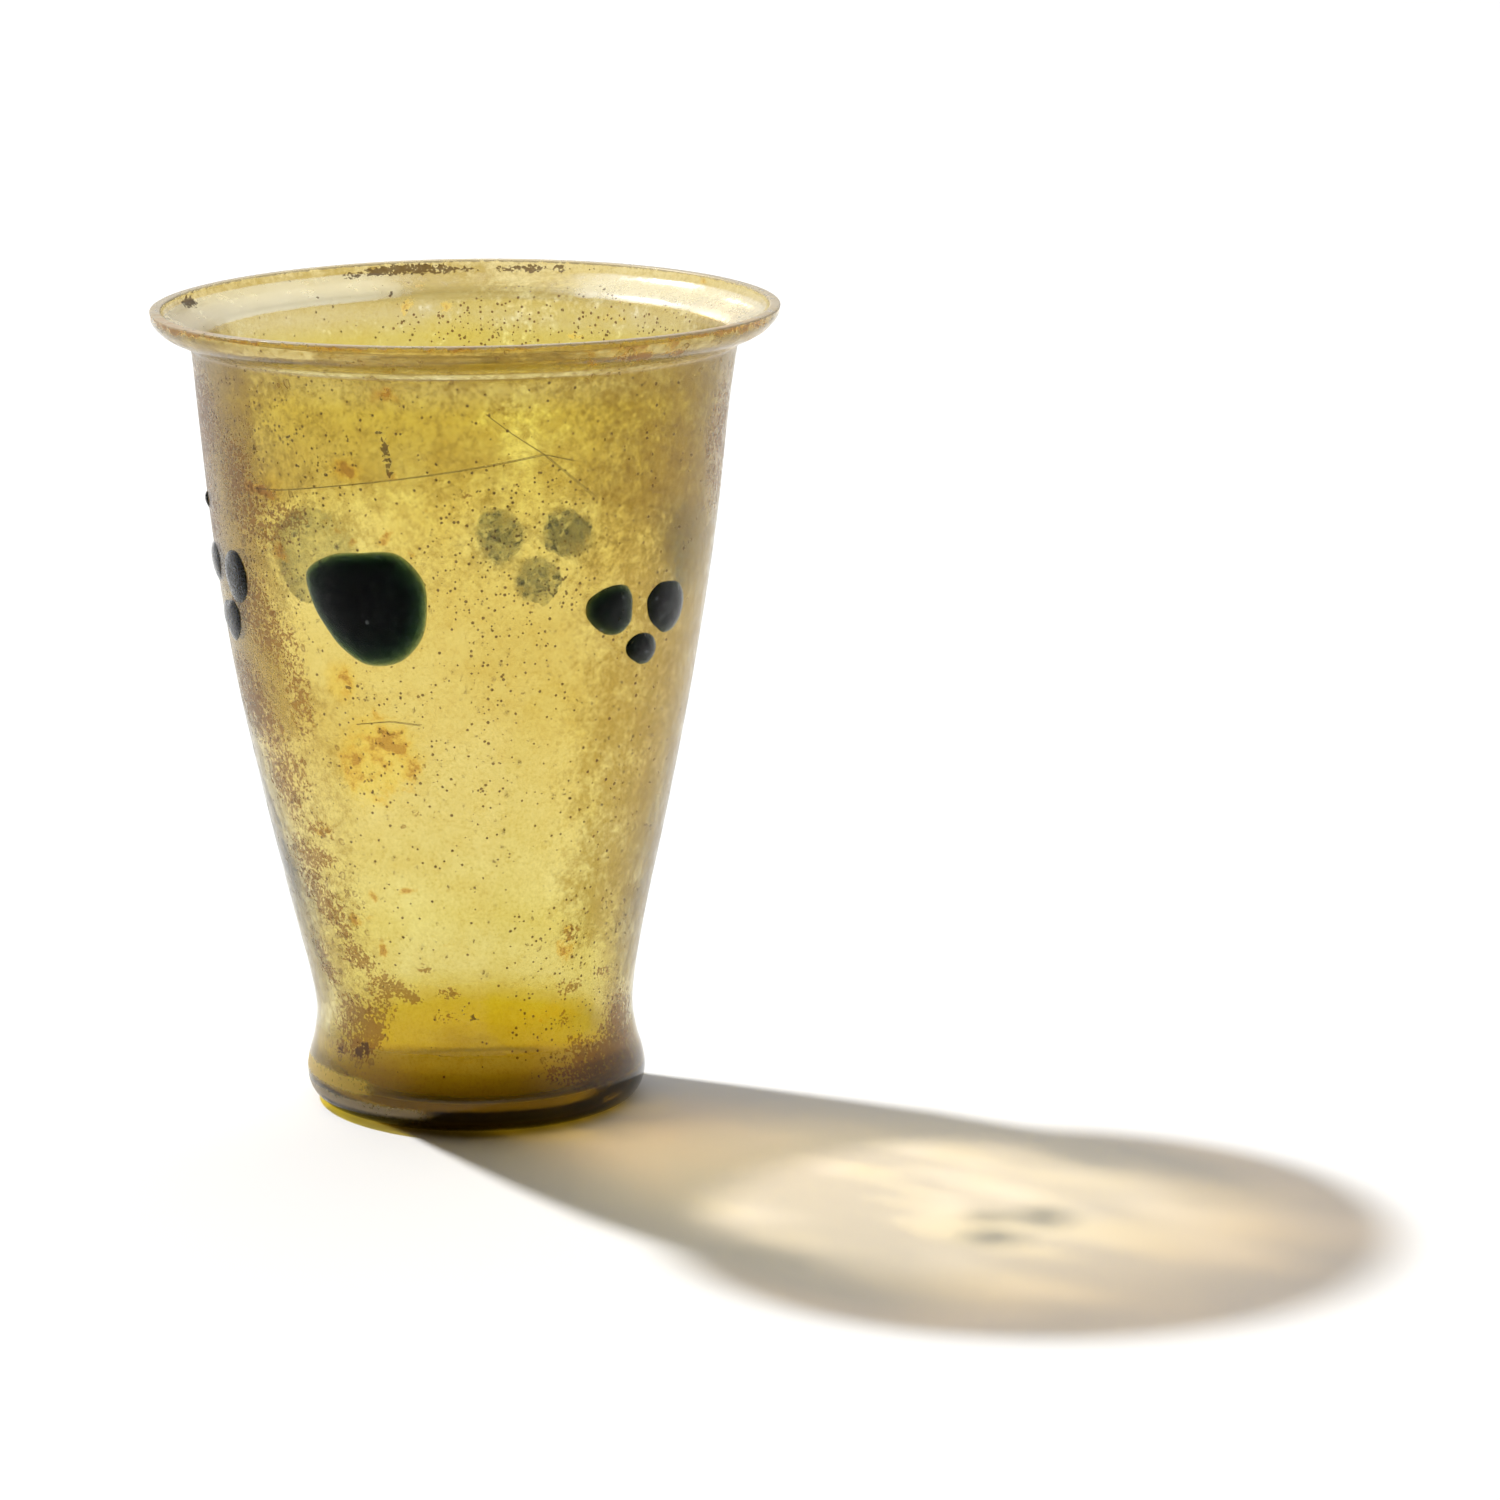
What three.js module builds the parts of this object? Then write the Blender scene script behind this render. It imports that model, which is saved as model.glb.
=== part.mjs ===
// A free-blown beaker of olive-yellow glass: a round foot, a drawn-in waist, a wall that widens
// upwards and a flange that turns out and up to a ground lip. Dark blobs are fused round it in six
// groups, where a single large blob alternates with a triangle of three small ones.
// Units are millimetres and +Z is up. The origin is on the resting plane, under the lip's centre.
// Turns are degrees round the cup from its front, -Y, towards +X.
import * as THREE from 'three';

// Outside of the vessel, from the resting ring up to the lip
const cupHeight = 114;
const restRadius = 21.4;
const restWidth = 6;
const kickHeight = 1.2;
const footRadius = 24.15;
const footBulgeHeight = 4;
const waistRadius = 22.55;
const waistHeight = 13;
const neckRadius = 38.2;
const flangeReach = 5.8;
const flangeDrop = 5.7;

// Thickness of the glass
const baseThickness = 3;
const footWallThickness = 2.3;
const wallThickness = 1.6;
const lipThickness = 1.5;

// How far the hand-made vessel strays from a true turned one
const bowDepth = 0.57;
const lipTilt = 0.55;
const lipSaddle = 0.28;
const lipSettleDepth = 14;

// The belt of blobs
const beltHeight = 76;
const largeBlobWidth = 17.5;
const largeBlobTallness = 15.5;
const largeBlobRelief = 1;
const smallBlobWidth = 8;
const smallBlobTallness = 7;
const smallBlobRelief = 0.6;
const dropletWidth = 2;
const dropletTallness = 2.4;
const dropletRelief = 0.4;
const dropletRise = 11.1;
const fuseGap = 0.3;

// Facets: steps round the vessel, and steps round a large and a small blob
const vesselSteps = 64;
const largeBlobSteps = 24;
const smallBlobSteps = 16;

// Sizes that follow from the ones above
const neckHeight = cupHeight - flangeDrop;
const lipRadius = neckRadius + flangeReach;
const floorHeight = kickHeight + baseThickness;
const innerWaistRadius = waistRadius - footWallThickness;

// Outlines as pairs of shares. The first is the share of the way out, the second of the way up,
// from the start of the stretch to its end.
const kickShares = [[0, 1], [0.35, 0.86], [0.7, 0.35]];
const footTurnShares = [[0, 0], [0.48, 0.17], [0.84, 0.5]];
const waistTurnShares = [[0, 0], [0.2, 0.26], [0.68, 0.57]];
const bodyShares = [
  [0, 0], [0.036, 0.053], [0.144, 0.138], [0.346, 0.286], [0.48, 0.392], [0.606, 0.498],
  [0.713, 0.604], [0.79, 0.69], [0.858, 0.782], [0.937, 0.912],
];
const flangeShares = [
  [0, 0], [0.025, 0.15], [0.125, 0.23], [0.38, 0.31], [0.66, 0.45], [0.865, 0.64], [0.975, 0.82], [1, 1],
];
const innerFootShares = [
  [1.03, 0.66], [1.062, 0.36], [1.055, 0.12], [1, -0.03], [0.86, -0.09], [0.6, -0.06], [0.3, -0.01], [0, 0],
];

// The axis leans and bows: heights as shares of the cup's height, shifts as shares of the bow
const bowHeightShares = [0, 0.105, 0.263, 0.526, 0.79, 0.965, 1];
const bowShares = [1, 0.7, -0.4, -0.89, -0.83, -0.2, 0];

// Blob outlines seen from outside: the reach in twelve even directions, anticlockwise from the
// right, as a share of half the blob's width and tallness
const shieldShares = [1, 1.1, 1.15, 0.99, 1.04, 1.12, 0.9, 0.8, 0.86, 1, 1.06, 1.03];
const dropShares = [0.97, 1.2, 1.14, 1.02, 0.98, 0.95, 1.02, 1, 1, 1, 1, 1];
const leafShares = [0.98, 1.18, 1.24, 0.95, 0.98, 1.02, 1.02, 0.98, 1, 1.1, 0.96, 0.92];
const pebbleShares = [1, 1.05, 1.1, 1, 0.96, 1, 0.98, 1, 1.02, 1, 0.98, 1];
const plumShares = [0.94, 1, 1.1, 1.02, 1, 1.06, 0.96, 0.84, 0.84, 0.97, 1.1, 1.08];
const figShares = [1, 0.98, 1, 1.02, 1.16, 1.14, 0.92, 0.81, 0.79, 0.95, 1.03, 1.04];
const beadShares = [1, 0.95, 0.95, 1, 1.06, 1.06, 0.93, 0.8, 0.77, 0.94, 1.1, 1.08];

// Large blobs: shares are the width and tallness as shares of a large blob's, and rise is how far
// one sits above the middle of the belt, as a share of its tallness
const largeBlobs = [
  { name: 'blob_large_front', turn: -20.6, rise: 0.045, shares: [1.02, 1.03], outline: shieldShares },
  { name: 'blob_large_right', turn: 109, rise: 0.045, shares: [0.82, 0.84], outline: pebbleShares },
  { name: 'blob_large_back', turn: -137, rise: -0.167, shares: [0.86, 0.9], outline: dropShares },
];

// Triangles of small blobs: each blob's place to the right of the triangle's middle and above the
// middle of the belt, and its width and tallness, all as shares of a small blob's
const trios = [
  {
    name: 'trio_right',
    turn: 47.4,
    blobs: [
      { name: 'upper_left', place: [-0.7, -0.09], shares: [1.05, 1.01], outline: plumShares },
      { name: 'upper_right', place: [0.72, -0.25], shares: [1.15, 1.07], outline: figShares },
      { name: 'lower', place: [0.13, -0.99], shares: [0.8, 0.66], outline: beadShares },
    ],
  },
  {
    name: 'trio_back',
    turn: 164.5,
    blobs: [
      { name: 'upper_left', place: [-0.65, -0.08], shares: [1.06, 0.97], outline: pebbleShares },
      { name: 'upper_right', place: [0.71, -0.2], shares: [0.9, 1.05], outline: leafShares },
      { name: 'lower', place: [-0.1, -1.1], shares: [0.96, 0.9], outline: pebbleShares },
    ],
  },
  {
    name: 'trio_left',
    turn: -71.5,
    blobs: [
      { name: 'upper_left', place: [-0.68, 0.35], shares: [1.02, 0.78], outline: dropShares },
      { name: 'upper_right', place: [0.68, 0.3], shares: [0.95, 1.08], outline: pebbleShares },
      { name: 'lower', place: [0.1, -0.68], shares: [1.02, 0.8], outline: leafShares },
    ],
  },
];

// A stray droplet of the dark glass, on the left above its triangle
const dropletTurn = -81.5;

// A blob's rings from its middle to its rim, on the domed face and on the face against the wall
const domeRingShares = [0.45, 0.75, 0.93, 1];
const seatRingShares = [0.7, 0.35];

// The dome's shape: a higher fullness flattens its top, and a lower roundness steepens its edge
const domeFullness = 2.4;
const domeRoundness = 0.65;

// Smooth value from a table: a cubic between neighbouring rows, with each row's slope taken from
// the rows on either side of it.
function smoothValue(places, values, place) {
  const last = places.length - 1;
  let row = 0;
  while (row < last - 1 && place > places[row + 1]) row += 1;
  const slopeAt = (index) => {
    const before = Math.max(index - 1, 0);
    const after = Math.min(index + 1, last);
    return (values[after] - values[before]) / (places[after] - places[before]);
  };
  const span = places[row + 1] - places[row];
  const share = THREE.MathUtils.clamp((place - places[row]) / span, 0, 1);
  const eased = share * share * (3 - 2 * share);
  const lead = share * (1 - share) * (1 - share) * slopeAt(row);
  const trail = share * share * (share - 1) * slopeAt(row + 1);
  return THREE.MathUtils.lerp(values[row], values[row + 1], eased) + span * (lead + trail);
}

// Points of one stretch of outline, from its start towards its end
function stretch(shares, start, end) {
  return shares.map(([out, up]) => new THREE.Vector2(
    THREE.MathUtils.lerp(start.x, end.x, out),
    THREE.MathUtils.lerp(start.y, end.y, up),
  ));
}

// Outer wall in four stretches, resting ring to bulge to waist to neck to lip
const rest = new THREE.Vector2(restRadius, 0);
const bulge = new THREE.Vector2(footRadius, footBulgeHeight);
const waist = new THREE.Vector2(waistRadius, waistHeight);
const neck = new THREE.Vector2(neckRadius, neckHeight);
const lip = new THREE.Vector2(lipRadius, cupHeight);
const footOutline = stretch(footTurnShares, rest, bulge);
const waistOutline = stretch(waistTurnShares, bulge, waist);
const bodyOutline = stretch(bodyShares, waist, neck);
const flangeOutline = stretch(flangeShares, neck, lip);

// The wall between bulge and neck, as radii at rising heights, for what sits on it
const wallOutline = [...waistOutline, ...bodyOutline, neck];
const wallHeights = wallOutline.map((point) => point.y);
const wallRadii = wallOutline.map((point) => point.x);

// The wall thins from foot to neck, and the flange has the lip's thickness
function thicknessAt(height) {
  if (height > neckHeight) return lipThickness;
  const share = THREE.MathUtils.smoothstep(height, waistHeight, cupHeight / 2);
  return THREE.MathUtils.lerp(footWallThickness, wallThickness, share);
}

// Inner face of the wall: each outer point moved in, square to the outline, by the thickness there
function innerOutline(outer) {
  return outer.map((point, index) => {
    const before = outer[Math.max(index - 1, 0)];
    const after = outer[Math.min(index + 1, outer.length - 1)];
    const along = after.clone().sub(before).normalize();
    const inward = new THREE.Vector2(-along.y, along.x);
    return point.clone().addScaledVector(inward, thicknessAt(point.y));
  });
}

// The last inner point is level with the lip, so the ground edge is flat across
function groundLip(inner) {
  const edge = inner[inner.length - 1];
  edge.set(lipRadius - lipThickness, cupHeight);
  return inner;
}

// Sideways shift of the axis at a height
function bowAt(height) {
  return bowDepth * smoothValue(bowHeightShares, bowShares, height / cupHeight);
}

// Moves a point of the true turned shape to where the hand-made one has it
function settle(point) {
  const share = THREE.MathUtils.clamp((point.z - cupHeight + lipSettleDepth) / lipSettleDepth, 0, 1);
  const across = point.x / lipRadius;
  const back = point.y / lipRadius;
  const lift = lipTilt * across / 2 + lipSaddle * (back * back - across * across);
  point.x += bowAt(point.z);
  point.z += share * lift;
  return point;
}

// The vessel is one gather of glass: wall, flange, foot and floor in a single closed shell
function makeVessel() {
  const kickEdge = new THREE.Vector2(restRadius - restWidth, 0);
  const kickTop = new THREE.Vector2(0, kickHeight);
  const underside = kickShares.map(([out, up]) => new THREE.Vector2(kickEdge.x * out, kickTop.y * up));
  const outer = [...footOutline, ...waistOutline, ...bodyOutline, ...flangeOutline];
  const aboveWaist = [...bodyOutline, ...flangeOutline];
  const inner = groundLip(innerOutline(aboveWaist)).reverse();
  const floor = innerFootShares.map(([out, up]) => new THREE.Vector2(
    innerWaistRadius * out,
    THREE.MathUtils.lerp(floorHeight, waistHeight, up),
  ));
  const profile = [...underside, kickEdge, ...outer, ...inner, ...floor];
  const geometry = new THREE.LatheGeometry(profile, vesselSteps);
  geometry.rotateX(Math.PI / 2);
  const places = geometry.attributes.position;
  const point = new THREE.Vector3();
  for (let index = 0; index < places.count; index += 1) {
    settle(point.fromBufferAttribute(places, index));
    places.setXYZ(index, point.x, point.y, point.z);
  }
  return geometry;
}

// A point off the outer wall: at a turn and a height, stood off square to the wall. The wall's
// slope is taken over a wall's thickness above and below.
function offWall(turn, height, standOff) {
  const radius = smoothValue(wallHeights, wallRadii, height);
  const above = smoothValue(wallHeights, wallRadii, height + wallThickness);
  const below = smoothValue(wallHeights, wallRadii, height - wallThickness);
  const slope = (above - below) / (2 * wallThickness);
  const reach = standOff / Math.hypot(1, slope);
  const out = radius + reach;
  const point = new THREE.Vector3(out * Math.sin(turn), -out * Math.cos(turn), height - reach * slope);
  return settle(point);
}

// A blob is a low cushion that follows the wall: a domed outer face and a seat that hugs the wall,
// meeting in a thin edge along the outline. Its middle lies a distance to the right of a turn.
function makeBlob({ turn, right, height, width, tallness, relief, outline, steps }) {
  const middleRadius = smoothValue(wallHeights, wallRadii, height);
  const middleTurn = THREE.MathUtils.degToRad(turn) + right / middleRadius;
  const corners = outline.map((share, index) => {
    const direction = 2 * Math.PI * index / outline.length;
    return new THREE.Vector3(
      Math.cos(direction) * share * width / 2,
      Math.sin(direction) * share * tallness / 2,
      0,
    );
  });
  const edge = new THREE.CatmullRomCurve3(corners, true, 'catmullrom').getPoints(steps).slice(0, steps);
  const vertices = [];
  const place = (across, up, standOff) => {
    const spot = offWall(middleTurn + across / middleRadius, height + up, fuseGap + standOff);
    vertices.push(spot.x, spot.y, spot.z);
  };
  const domeAt = (share) => relief * (1 - share ** domeFullness) ** domeRoundness;
  place(0, 0, domeAt(0));
  for (const share of domeRingShares) {
    for (const corner of edge) place(corner.x * share, corner.y * share, domeAt(share));
  }
  for (const share of seatRingShares) {
    for (const corner of edge) place(corner.x * share, corner.y * share, 0);
  }
  place(0, 0, 0);
  const rings = domeRingShares.length + seatRingShares.length;
  const lastVertex = 1 + rings * steps;
  const faces = [];
  for (let step = 0; step < steps; step += 1) {
    const next = (step + 1) % steps;
    faces.push(0, 1 + step, 1 + next);
    for (let ring = 0; ring + 1 < rings; ring += 1) {
      const inside = 1 + ring * steps;
      const outside = inside + steps;
      faces.push(inside + step, outside + step, outside + next);
      faces.push(inside + step, outside + next, inside + next);
    }
    const lastRing = lastVertex - steps;
    faces.push(lastRing + next, lastRing + step, lastVertex);
  }
  const geometry = new THREE.BufferGeometry();
  geometry.setAttribute('position', new THREE.Float32BufferAttribute(vertices, 3));
  geometry.setIndex(faces);
  geometry.computeVertexNormals();
  return geometry;
}

const oliveGlass = { color: 0xc9b45f, roughness: 0.15, metalness: 0 };
const darkGlass = { color: 0x101218, roughness: 0.2, metalness: 0 };

const cup = new THREE.Group();

function addPiece(name, geometry, finish) {
  const piece = new THREE.Mesh(geometry, new THREE.MeshStandardMaterial(finish));
  piece.name = name;
  cup.add(piece);
}

addPiece('vessel', makeVessel(), oliveGlass);

for (const blob of largeBlobs) {
  const geometry = makeBlob({
    turn: blob.turn,
    right: 0,
    height: beltHeight + largeBlobTallness * blob.rise,
    width: largeBlobWidth * blob.shares[0],
    tallness: largeBlobTallness * blob.shares[1],
    relief: largeBlobRelief,
    outline: blob.outline,
    steps: largeBlobSteps,
  });
  addPiece(blob.name, geometry, darkGlass);
}

for (const trio of trios) {
  for (const blob of trio.blobs) {
    const geometry = makeBlob({
      turn: trio.turn,
      right: smallBlobWidth * blob.place[0],
      height: beltHeight + smallBlobTallness * blob.place[1],
      width: smallBlobWidth * blob.shares[0],
      tallness: smallBlobTallness * blob.shares[1],
      relief: smallBlobRelief,
      outline: blob.outline,
      steps: smallBlobSteps,
    });
    addPiece(`${trio.name}_${blob.name}`, geometry, darkGlass);
  }
}

const droplet = makeBlob({
  turn: dropletTurn,
  right: 0,
  height: beltHeight + dropletRise,
  width: dropletWidth,
  tallness: dropletTallness,
  relief: dropletRelief,
  outline: pebbleShares,
  steps: smallBlobSteps,
});
addPiece('stray_droplet', droplet, darkGlass);

export default cup;
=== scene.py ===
"""The looks of a free-blown beaker of olive-yellow glass with dark blobs fused round its middle.

Lengths are in millimetres until a mesh is made. +Z is up, and the origin is on the resting plane
under the lip's centre. Turns are degrees round the cup from its front, -Y, towards +X.
"""
import math

import bpy
import numpy as np
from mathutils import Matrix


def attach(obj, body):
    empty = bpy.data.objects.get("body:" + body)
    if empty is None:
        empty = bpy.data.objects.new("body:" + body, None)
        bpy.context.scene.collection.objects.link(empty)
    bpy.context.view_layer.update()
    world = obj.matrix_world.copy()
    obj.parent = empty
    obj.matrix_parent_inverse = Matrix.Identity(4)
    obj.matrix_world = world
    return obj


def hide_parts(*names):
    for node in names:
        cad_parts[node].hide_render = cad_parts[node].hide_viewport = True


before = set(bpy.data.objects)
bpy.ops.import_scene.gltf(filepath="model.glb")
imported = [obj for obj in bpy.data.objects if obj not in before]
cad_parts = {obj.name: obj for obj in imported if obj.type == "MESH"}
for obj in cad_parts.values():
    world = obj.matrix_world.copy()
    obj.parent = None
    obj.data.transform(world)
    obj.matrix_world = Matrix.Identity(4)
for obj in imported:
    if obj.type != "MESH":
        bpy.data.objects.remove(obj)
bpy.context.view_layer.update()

scene = bpy.context.scene

# Vessel
# One gather of olive-yellow soda glass, blown, drawn in above a round foot and tooled out to a
# flange whose lip is ground level. Foot, floor, wall and flange are one piece of glass, so nothing
# is fixed to it but the blobs, which are fused into its outer wall.

mm = 0.001
full_turn = 360
half_turn = 180
cup_height = 114
rest_radius = 21.4
rest_width = 6
kick_height = 1.2
foot_radius = 24.15
foot_bulge_height = 4
waist_radius = 22.55
waist_height = 13
neck_radius = 38.2
flange_reach = 5.8
flange_drop = 5.7
base_thickness = 3
foot_wall_thickness = 2.3
wall_thickness = 1.6
lip_thickness = 1.5
lip_round = 0.3
lip_power = 0.5
lip_step = 15
bow_depth = 0.57
lip_tilt = 0.55
lip_saddle = 0.28
lip_settle_depth = 14
wave_depth = 0.05
swell_depth = 0.12
vessel_steps = 300
ring_rows = 6
outer_spacing = 0.8
inner_spacing = 1.6
fewest_steps = 3

neck_height = cup_height - flange_drop
lip_radius = neck_radius + flange_reach
floor_height = kick_height + base_thickness
inner_waist_radius = waist_radius - foot_wall_thickness
wave_fade_height = waist_height * 2
wave_fade_drop = flange_drop * 2

# Outlines as shares of the way out and of the way up, as in the solids. Only the flange's crease
# bends more slowly here, because in a tight one the glass shows as a black ring.
kick_shares = [(0, 1), (0.35, 0.86), (0.7, 0.35), (1, 0)]
foot_turn_shares = [(0, 0), (0.48, 0.17), (0.84, 0.5)]
waist_turn_shares = [(0, 0), (0.2, 0.26), (0.68, 0.57)]
body_shares = [
    (0, 0), (0.036, 0.053), (0.144, 0.138), (0.346, 0.286), (0.48, 0.392), (0.606, 0.498),
    (0.713, 0.604), (0.79, 0.69), (0.858, 0.782), (0.937, 0.912),
]
flange_shares = [
    (0, 0), (0.07, 0.12), (0.2, 0.21), (0.4, 0.31), (0.66, 0.45), (0.865, 0.64), (0.975, 0.82),
    (1, 1),
]
inner_foot_shares = [
    (1.03, 0.66), (1.062, 0.36), (1.055, 0.12), (1, -0.03), (0.86, -0.09), (0.6, -0.06),
    (0.3, -0.01), (0, 0),
]
bow_height_shares = [0, 0.105, 0.263, 0.526, 0.79, 0.965, 1]
bow_shares = [1, 0.7, -0.4, -0.89, -0.83, -0.2, 0]

# Slow waves of the wall and of its thickness: how many go round, how far up each goes for a radian
# of its swing, where it starts and its strength
wall_waves = [(3, 17, 0, 1), (5, -11, 1, 1), (1, 7, 0, 1)]
swell_waves = [(2, 23, 1, 1), (4, -14, 0, 0.5)]


def smooth_value(places, values, place):
    """A table read smoothly: between two rows a cubic that leaves and meets them at their slopes,
    a row's slope being the rise from the row before it to the row after it over their distance."""
    places, values = np.asarray(places, float), np.asarray(values, float)
    rows = np.arange(len(places))
    before, after = np.maximum(rows - 1, 0), np.minimum(rows + 1, len(places) - 1)
    slopes = (values[after] - values[before]) / (places[after] - places[before])
    row = np.clip(np.searchsorted(places, place, side="right") - 1, 0, len(places) - 2)
    span = places[row + 1] - places[row]
    share = np.clip((place - places[row]) / span, 0, 1)
    eased = share * share * (3 - 2 * share)
    lead = share * (1 - share) ** 2 * slopes[row]
    trail = share * share * (share - 1) * slopes[row + 1]
    return values[row] + (values[row + 1] - values[row]) * eased + span * (lead + trail)


def smooth_step(low, high, value):
    """Rises from 0 at low to 1 at high, level at both ends."""
    share = np.clip((value - low) / (high - low), 0, 1)
    return share * share * (3 - 2 * share)


def stretch(shares, start, end):
    """Points between two corners: each share of the way out and up, times the two distances."""
    return np.asarray(start, float) + np.asarray(shares, float) * (np.asarray(end, float) - start)


def smooth_outline(points, spacing):
    """A smooth line through points: each coordinate is a table read smoothly along the length of
    the straight line from point to point, in even steps between each two points."""
    lengths = np.hypot(*np.diff(points, axis=0).T)
    along = np.concatenate([[0], np.cumsum(lengths)])
    counts = np.maximum(np.ceil(lengths / spacing).astype(int), fewest_steps)
    parts = [np.linspace(a, b, n, endpoint=False) for a, b, n in zip(along[:-1], along[1:], counts)]
    places = np.concatenate(parts + [along[-1:]])
    return np.stack([smooth_value(along, points[:, k], places) for k in (0, 1)], axis=1)


def glass_thickness(height):
    """The wall thins from the waist to half height, and the flange has the lip's thickness."""
    share = smooth_step(waist_height, cup_height / 2, height)
    wall = foot_wall_thickness + (wall_thickness - foot_wall_thickness) * share
    return np.where(height > neck_height, lip_thickness, wall)


def inner_outline(outer):
    """The outer line moved inward, square to the line from the point before to the point after,
    by the thickness at each point."""
    rows = np.arange(len(outer))
    along = outer[np.minimum(rows + 1, rows[-1])] - outer[np.maximum(rows - 1, 0)]
    along /= np.hypot(*along.T)[:, None]
    inward = np.stack([-along[:, 1], along[:, 0]], axis=1)
    return outer + inward * glass_thickness(outer[:, 1])[:, None]


def settle(points):
    """Moves points of the true turned shape to where the hand-made cup has them: sideways by the
    axis's bow at their height, and near the lip up or down by its tilt and its saddle."""
    x, y, z = points[..., 0], points[..., 1], points[..., 2]
    share = np.clip((z - cup_height + lip_settle_depth) / lip_settle_depth, 0, 1)
    across, back = x / lip_radius, y / lip_radius
    lift = lip_tilt * across / 2 + lip_saddle * (back ** 2 - across ** 2)
    bow = bow_depth * smooth_value(bow_height_shares, bow_shares, z / cup_height)
    return np.stack([x + bow, y, z + share * lift], axis=-1)


def slow_waves(turn, height, waves, low):
    """The sum of sines of the turn times each wave's count plus the height over its rise, faded to
    0 at a low height and at the neck."""
    angle = np.radians(turn)
    total = sum(strength * np.sin(count * angle + height / rise + start)
                for count, rise, start, strength in waves)
    above_low = smooth_step(low, wave_fade_height, height)
    return total * above_low * smooth_step(0, wave_fade_drop, neck_height - height)


def waviness(turn, height):
    """How far the blown wall stands out from true: its slow waves times their depth."""
    return wave_depth * slow_waves(turn, height, wall_waves, foot_bulge_height)


def swelling(turn, height):
    """How far the wall's inner face stands in or out, so that the glass is thick and thin by
    turns: the slow waves of its thickness times their depth."""
    return swell_depth * slow_waves(turn, height, swell_waves, floor_height)


# The outer wall in four stretches, from resting ring to bulge, waist, neck and lip
bulge, waist = (foot_radius, foot_bulge_height), (waist_radius, waist_height)
neck, lip_edge = (neck_radius, neck_height), (lip_radius, cup_height - lip_round)
foot_points = stretch(foot_turn_shares, (rest_radius, 0), bulge)
waist_points = stretch(waist_turn_shares, bulge, waist)
body_points = stretch(body_shares, waist, neck)
flange_points = stretch(flange_shares, neck, lip_edge)
outer_points = np.concatenate([foot_points, waist_points, body_points, flange_points])
inner_points = inner_outline(np.concatenate([body_points, flange_points]))
inner_points[-1] = lip_radius - lip_thickness, cup_height - lip_round
floor_points = stretch(inner_foot_shares, (0, floor_height), (inner_waist_radius, waist_height))

# The ground lip between them: half a rounded square, as wide as the lip and as tall as its rounding
lip_angles = np.radians(np.arange(lip_step, half_turn, lip_step))
lip_cosines = np.cos(lip_angles)
lip_shares = np.sign(lip_cosines) * np.abs(lip_cosines) ** lip_power
lip_across = lip_radius - lip_thickness / 2 * (1 - lip_shares)
lip_up = cup_height - lip_round + lip_round * np.sin(lip_angles) ** lip_power

ring_start = rest_radius - rest_width
underside = smooth_outline(stretch(kick_shares, (0, 0), (ring_start, kick_height)), inner_spacing)
ring = np.linspace((ring_start, 0), (rest_radius, 0), ring_rows + 2)[1:-1]
outside = smooth_outline(outer_points, outer_spacing)
inside = smooth_outline(np.concatenate([inner_points[::-1], floor_points]), inner_spacing)
outline = np.concatenate([underside, ring, outside, np.stack([lip_across, lip_up], axis=1), inside])
first_inside = len(outline) - len(inside)

# Wall radius at a height, for what sits on the wall
wall_rows = (outside[:, 1] > foot_bulge_height) & (outside[:, 1] < neck_height)
wall_heights, wall_radii = outside[wall_rows, 1], outside[wall_rows, 0]


def turned_point(turn, radius, height):
    """Radius times the sine of the turn is x, and minus radius times its cosine is y."""
    angle = np.radians(turn)
    return np.stack([radius * np.sin(angle), -radius * np.cos(angle), height], axis=-1)


def store(piece, key, values):
    """Keeps one value from 0 to 1 for each point of a mesh, for its material to read."""
    layer = piece.data.attributes.new(key, "FLOAT", "POINT")
    layer.data.foreach_set("value", np.clip(values, 0, 1).astype(np.float32))


def make_piece(name, vertices, faces, uv=None):
    """A smooth mesh object from vertices in millimetres, with a map if one is given."""
    mesh = bpy.data.meshes.new(name)
    mesh.from_pydata((vertices * mm).tolist(), [], faces)
    mesh.update()
    mesh.shade_smooth()
    if uv is not None:
        corners = np.empty(len(mesh.loops), int)
        mesh.loops.foreach_get("vertex_index", corners)
        layer = mesh.uv_layers.new(name="wall")
        layer.data.foreach_set("uv", uv(corners).astype(np.float32).ravel())
    piece = bpy.data.objects.new(name, mesh)
    scene.collection.objects.link(piece)
    return piece


def grid_faces(rows, steps):
    """Quads of a closed band: each point, its neighbour round the band, and the two above them."""
    row, step = np.meshgrid(np.arange(rows - 1), np.arange(steps), indexing="ij")
    here, right = row * steps + step, row * steps + (step + 1) % steps
    return np.stack([here, right, right + steps, here + steps], axis=-1).reshape(-1, 4)


# Round the vessel: the outline's two ends are single points on the axis
turns = np.arange(vessel_steps) * full_turn / vessel_steps - full_turn / 2
rows = outline[1:-1]
row_inside = np.arange(1, len(outline) - 1) >= first_inside
turn_grid, row_grid = np.meshgrid(turns, np.arange(len(rows)))
height_grid = rows[row_grid, 1]
inside_grid = row_inside[row_grid]
radius_grid = rows[row_grid, 0] + waviness(turn_grid, height_grid)
radius_grid += inside_grid * swelling(turn_grid, height_grid)
band = turned_point(turn_grid, radius_grid, height_grid).reshape(-1, 3)
poles = np.array([[0, 0, kick_height], [0, 0, floor_height]])
under_pole = len(band)
last_row = under_pole - vessel_steps
here = np.arange(vessel_steps)
after = (here + 1) % vessel_steps
at_pole = np.full(vessel_steps, under_pole)
under_fan = np.stack([at_pole, after, here], axis=1)
floor_fan = np.stack([at_pole + 1, last_row + here, last_row + after], axis=1)
wall_quads = grid_faces(len(rows), vessel_steps)
vessel_faces = wall_quads.tolist() + under_fan.tolist() + floor_fan.tolist()

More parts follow.
